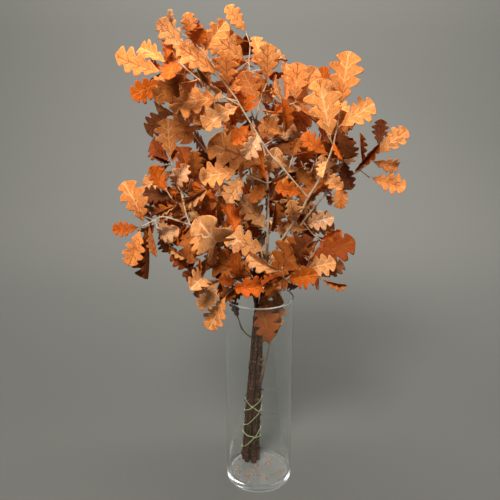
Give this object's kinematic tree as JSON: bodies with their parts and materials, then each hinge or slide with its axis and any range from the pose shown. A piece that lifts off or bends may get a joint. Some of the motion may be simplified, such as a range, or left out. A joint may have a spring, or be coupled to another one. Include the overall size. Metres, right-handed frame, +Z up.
{
  "type": "autumn oak branches in glass cylinder vase",
  "caption": "Cut oak branches with dry autumn leaves, tied with twine and standing in a tall clear glass cylinder vase.",
  "frame": {"origin": "centre of the vase's flat underside, on the surface that it rests on", "axes": "+Z up along the vase, +Y away from the picture's camera, +X to the picture's right"},
  "size_m": [0.5973, 0.4137, 1.0434],
  "materials": {
    "clear_glass": "clear, smooth and polished",
    "autumn_leaf": "dry matte oak leaf on rough brown bark, orange to dark red-brown with paler veins",
    "green_twine": "thin matte pale green twine"
  },
  "bodies": {
    "root": {"glass_vase": "clear_glass", "branch_1": "autumn_leaf", "branch_2": "autumn_leaf", "branch_3": "autumn_leaf", "branch_4": "autumn_leaf", "branch_5": "autumn_leaf", "branch_6": "autumn_leaf", "branch_7": "autumn_leaf", "upper_twine": "green_twine", "lower_twine": "green_twine"}
  },
  "joints": []
}
